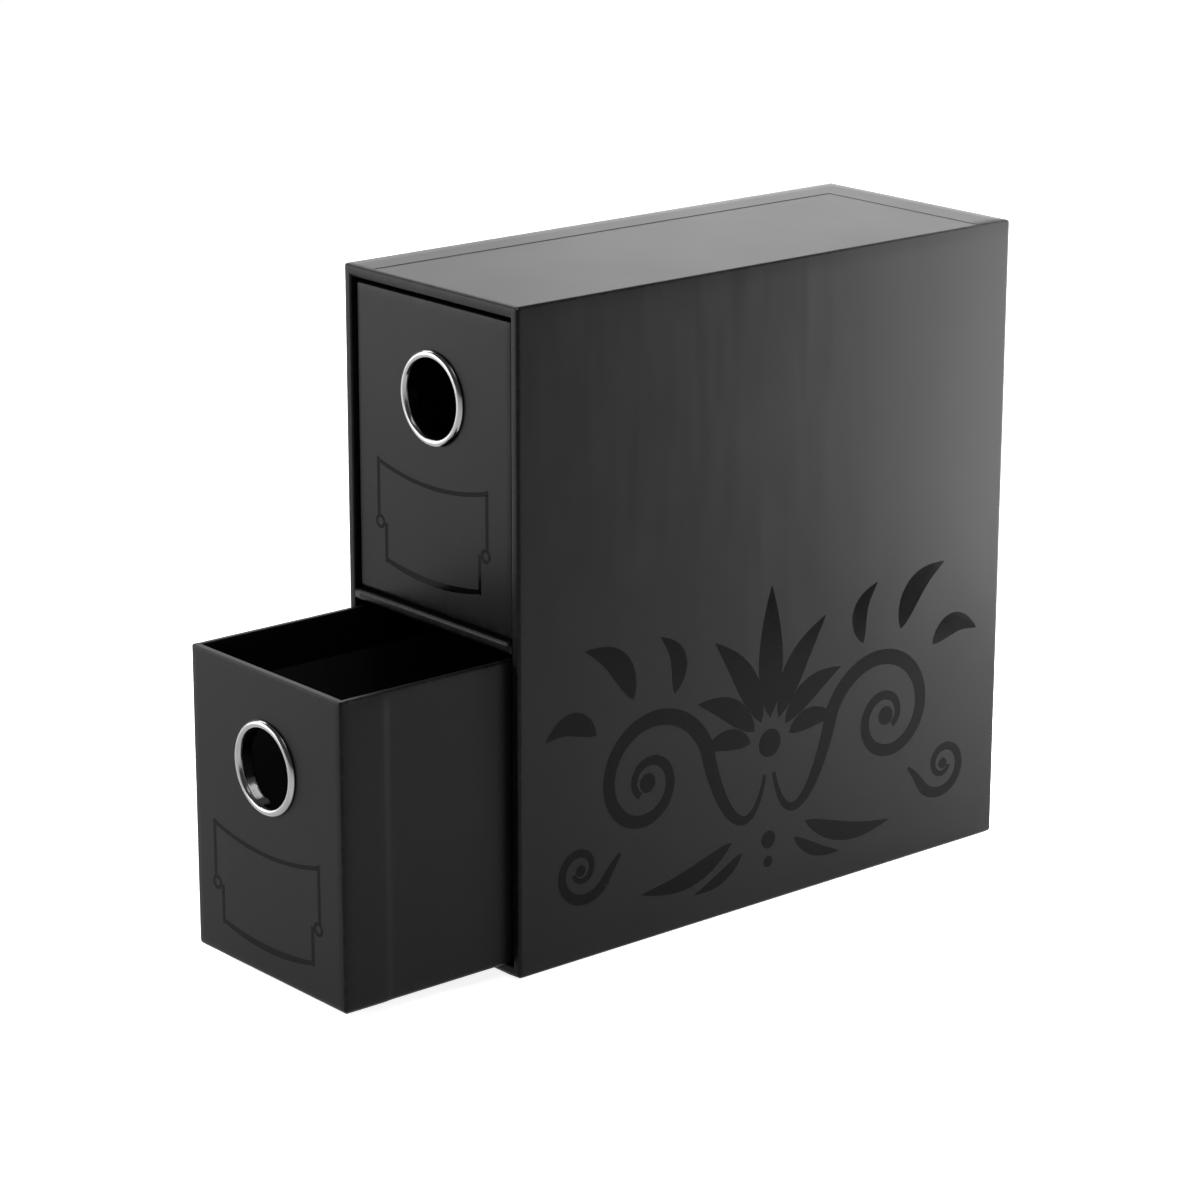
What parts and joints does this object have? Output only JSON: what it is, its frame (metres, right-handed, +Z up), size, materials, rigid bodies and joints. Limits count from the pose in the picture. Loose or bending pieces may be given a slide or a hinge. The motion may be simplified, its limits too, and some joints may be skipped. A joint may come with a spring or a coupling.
{
  "type": "card storage box",
  "caption": "Tall paper-wrapped greyboard case with a fixed shelf and sliding drawers, each pulled by a chromed finger ring, for standing sleeved cards.",
  "frame": {"origin": "centre of the case's underside, on the base sheet", "axes": "+X across the box to its right side, +Y from the front to the back, +Z up"},
  "size_m": [0.09, 0.289, 0.225],
  "materials": {
    "greyboard": "raw grey board",
    "cover_paper": "black matt-laminated paper, satin sheen",
    "lining_paper": "black uncoated paper, matt",
    "chrome": "polished chrome plate"
  },
  "bodies": {
    "case": {"case_left_board": "greyboard", "case_right_board": "greyboard", "case_top_board": "greyboard", "case_bottom_board": "greyboard", "case_back_board": "greyboard", "shelf_board": "greyboard", "shelf_wrap": "cover_paper", "case_main_wrap": "cover_paper", "case_back_wrap": "cover_paper", "case_base_sheet": "cover_paper", "upper_cell_lining": "lining_paper", "lower_cell_lining": "lining_paper"},
    "upper_drawer": {"upper_front_board": "greyboard", "upper_back_board": "greyboard", "upper_left_board": "greyboard", "upper_right_board": "greyboard", "upper_bottom_board": "greyboard", "upper_front_wrap": "cover_paper", "upper_body_wrap": "cover_paper", "upper_lining": "lining_paper", "upper_finger_ring": "chrome", "upper_ring_washer": "chrome"},
    "lower_drawer": {"lower_front_board": "greyboard", "lower_back_board": "greyboard", "lower_left_board": "greyboard", "lower_right_board": "greyboard", "lower_bottom_board": "greyboard", "lower_front_wrap": "cover_paper", "lower_body_wrap": "cover_paper", "lower_lining": "lining_paper", "lower_finger_ring": "chrome", "lower_ring_washer": "chrome"}
  },
  "joints": [
    {"name": "upper_drawer_slide", "type": "slide", "parent": "case", "child": "upper_drawer", "axis": [0, -1, 0], "range_m": [0, 0.2]},
    {"name": "lower_drawer_slide", "type": "slide", "parent": "case", "child": "lower_drawer", "axis": [0, -1, 0], "range_m": [-0.069, 0.131]}
  ]
}
